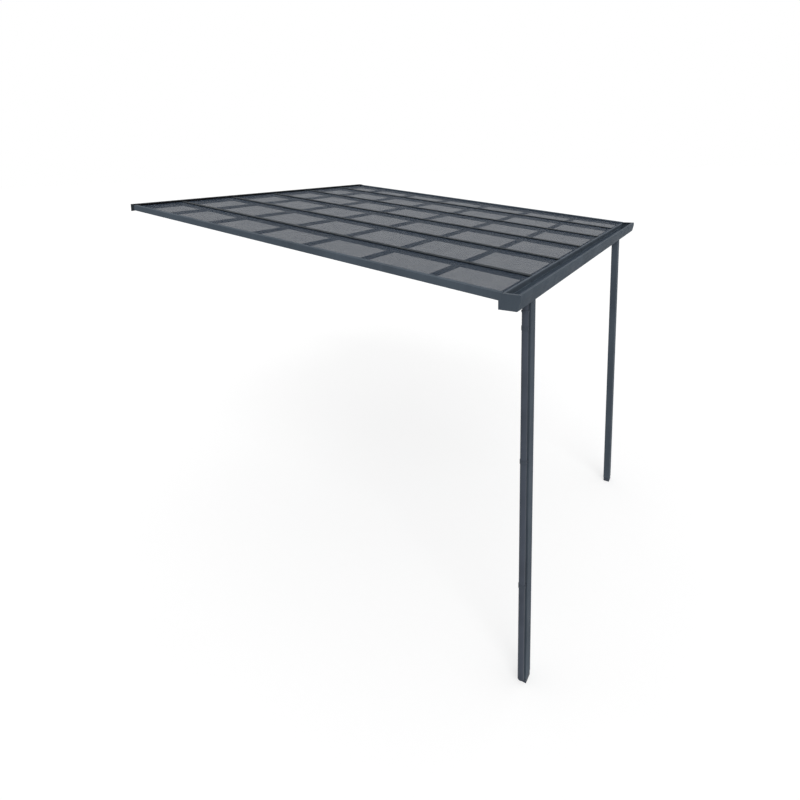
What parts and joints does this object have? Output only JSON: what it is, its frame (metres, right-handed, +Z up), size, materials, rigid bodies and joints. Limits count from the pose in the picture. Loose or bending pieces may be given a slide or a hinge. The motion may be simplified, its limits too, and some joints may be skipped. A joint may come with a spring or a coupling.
{
  "type": "lean-to patio cover",
  "caption": "Lean-to patio cover: wall bar, sloping aluminium rafters, tinted clear roof sheets, front gutter with downpipe, carried by posts at the low edge.",
  "frame": {"origin": "middle of the flat back face of the wall bar, half way along the wall", "axes": "+X along the wall, +Y out of the back face into the wall, +Z up; the roof falls towards -Y"},
  "size_m": [4.001, 4, 3.37],
  "materials": {
    "frame_coat": "anthracite powder coat on aluminium, fine satin texture",
    "cap_coat": "dark anthracite powder coat on aluminium",
    "end_coat": "anthracite powder coat, satin",
    "trim_coat": "lighter grey powder coat on thin folded aluminium, satin",
    "roof_sheet": "smoke-tinted clear polycarbonate, smooth",
    "seal_rubber": "black rubber, matt",
    "pipe_plastic": "anthracite plastic, satin",
    "fitting_plastic": "anthracite moulded plastic, matt"
  },
  "bodies": {
    "root": {"cap_1": "cap_coat", "cap_2": "cap_coat", "cap_3": "cap_coat", "cap_4": "cap_coat", "cap_5": "cap_coat", "downpipe": "pipe_plastic", "eaves_bars": "frame_coat", "gutter": "frame_coat", "gutter_outlet": "pipe_plastic", "left_gutter_end": "end_coat", "left_post": "frame_coat", "left_post_foot": "fitting_plastic", "left_post_head": "frame_coat", "left_side_rafter": "frame_coat", "left_wall_bar_end": "end_coat", "pipe_clips": "fitting_plastic", "purlin_1": "frame_coat", "purlin_2": "frame_coat", "purlin_3": "frame_coat", "purlin_4": "frame_coat", "purlin_5": "frame_coat", "purlin_6": "frame_coat", "rafter_1": "frame_coat", "rafter_2": "frame_coat", "rafter_3": "frame_coat", "rafter_4": "frame_coat", "rafter_5": "frame_coat", "rafter_end_covers": "end_coat", "right_gutter_end": "end_coat", "right_post": "frame_coat", "right_post_foot": "fitting_plastic", "right_post_head": "frame_coat", "right_side_rafter": "frame_coat", "right_wall_bar_end": "end_coat", "roof_sheet_1": "roof_sheet", "roof_sheet_2": "roof_sheet", "roof_sheet_3": "roof_sheet", "roof_sheet_4": "roof_sheet", "roof_sheet_5": "roof_sheet", "roof_sheet_6": "roof_sheet", "sheet_seals": "seal_rubber", "sheet_trims": "trim_coat", "wall_bar": "frame_coat", "wall_seal": "seal_rubber"}
  },
  "joints": []
}
